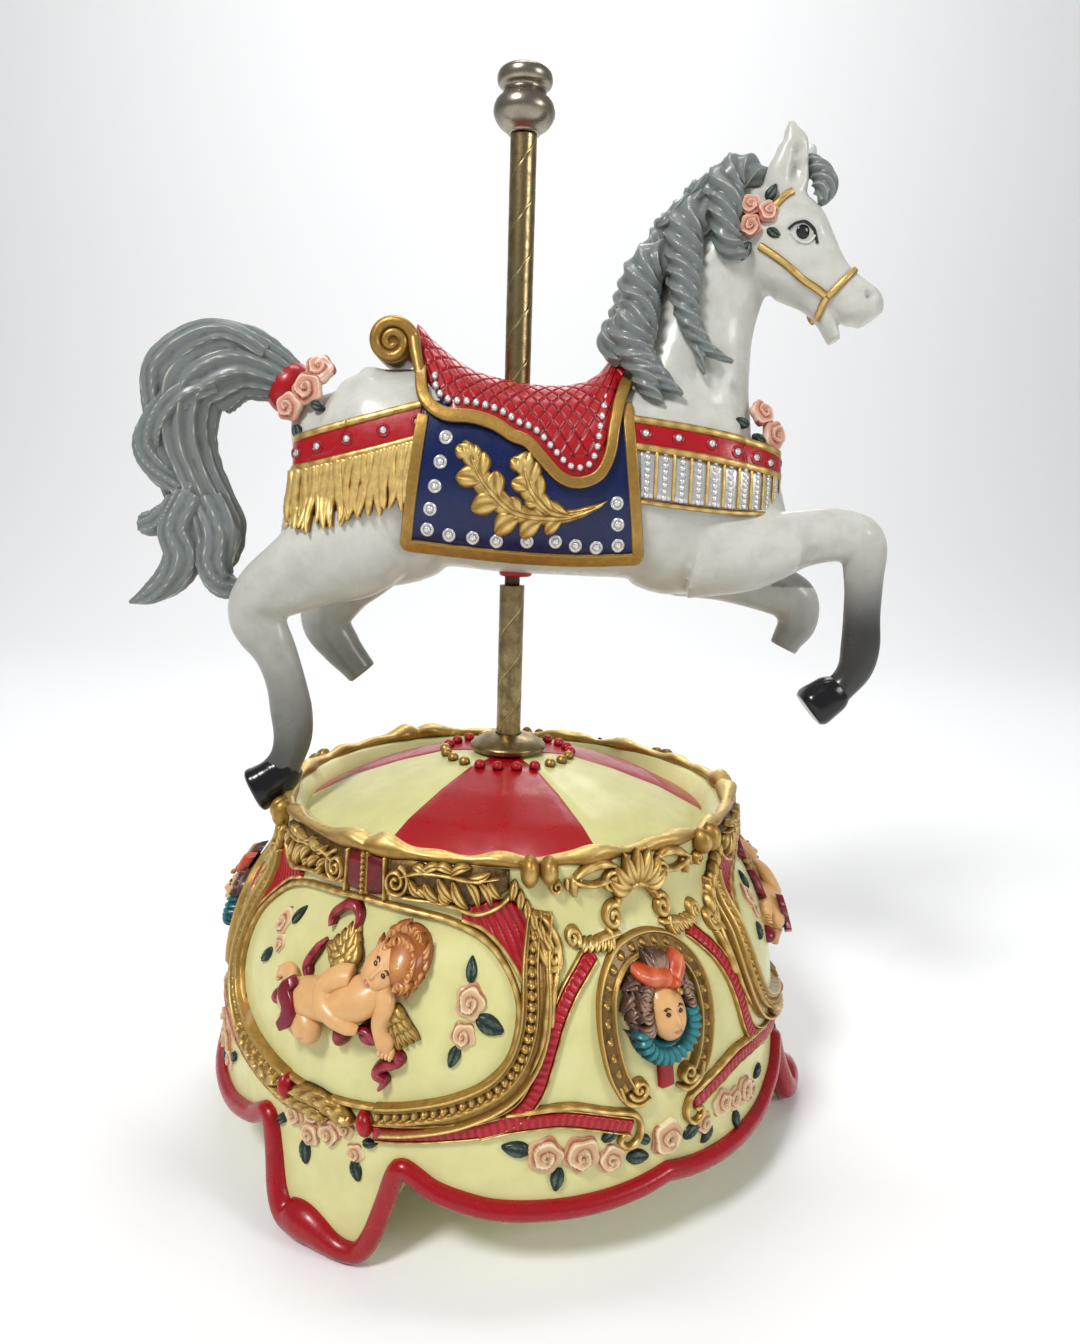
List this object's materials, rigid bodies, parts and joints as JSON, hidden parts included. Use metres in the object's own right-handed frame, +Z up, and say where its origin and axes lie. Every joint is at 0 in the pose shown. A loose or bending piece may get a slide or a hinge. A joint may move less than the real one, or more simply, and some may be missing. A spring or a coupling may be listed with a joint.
{
  "type": "carousel horse figurine",
  "caption": "Table-top carousel horse: a leaping horse with saddle and tack on an upright pole over a round domed base with relief panels and feet.",
  "frame": {"origin": "middle of the underside of the figure's bounding box, on the ground; the pole's axis stands 2.65 mm from it towards +X", "axes": "+Z up along the pole, +X the way the horse heads, -Y the horse's right-hand side, which faces the viewer"},
  "size_m": [0.2332, 0.188, 0.3225],
  "materials": {
    "base_resin": "painted cast resin, cream with red, antique gold and dark green, glossy varnish",
    "horse_resin": "painted cast resin, pearl white with grey mane and tail, red, navy and antique gold tack, glossy varnish",
    "brass": "antiqued brass sheet tube, worn bright in patches",
    "rod_steel": "dark browned steel",
    "finial_metal": "antiqued pewter-toned plating, glossy"
  },
  "bodies": {
    "root": {"base": "base_resin", "collar": "brass", "lowerTube": "brass", "upperTube": "brass", "rod": "rod_steel", "horse": "horse_resin", "finial": "finial_metal"}
  },
  "joints": []
}
